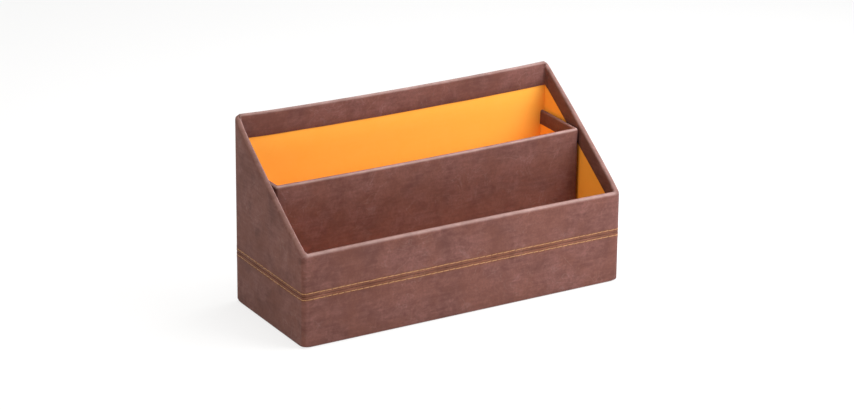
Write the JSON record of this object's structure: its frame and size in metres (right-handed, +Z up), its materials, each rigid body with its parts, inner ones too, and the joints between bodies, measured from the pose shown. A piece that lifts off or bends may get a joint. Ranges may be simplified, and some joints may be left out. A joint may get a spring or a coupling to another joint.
{
  "type": "letter holder",
  "caption": "Desktop letter holder with a low front wall, a tall rear wall and sloping sides in stitched brown leatherette, orange lining and a U-shaped divider insert.",
  "frame": {"origin": "middle of the underside, on the surface that the holder stands on", "axes": "+X along the width, to the right seen from the front; +Y to the rear wall; +Z up"},
  "size_m": [0.25, 0.097, 0.135],
  "materials": {
    "leatherette": "satin",
    "lining": "matte",
    "thread": "matte",
    "greyboard": "matte",
    "underside": "matte"
  },
  "bodies": {
    "root": {"base_board": "greyboard", "front_board": "greyboard", "rear_board": "greyboard", "left_side_board": "greyboard", "right_side_board": "greyboard", "insert_front_board": "greyboard", "insert_left_board": "greyboard", "insert_right_board": "greyboard", "floor_lining": "lining", "front_lining": "lining", "rear_lining": "lining", "left_lining": "lining", "right_lining": "lining", "insert_front_lining": "lining", "insert_left_lining": "lining", "insert_right_lining": "lining", "upper_stitch_row": "thread", "lower_stitch_row": "thread", "upper_cover": "leatherette", "lower_cover": "leatherette", "insert_cover": "leatherette", "underside_sheet": "underside"}
  },
  "joints": []
}
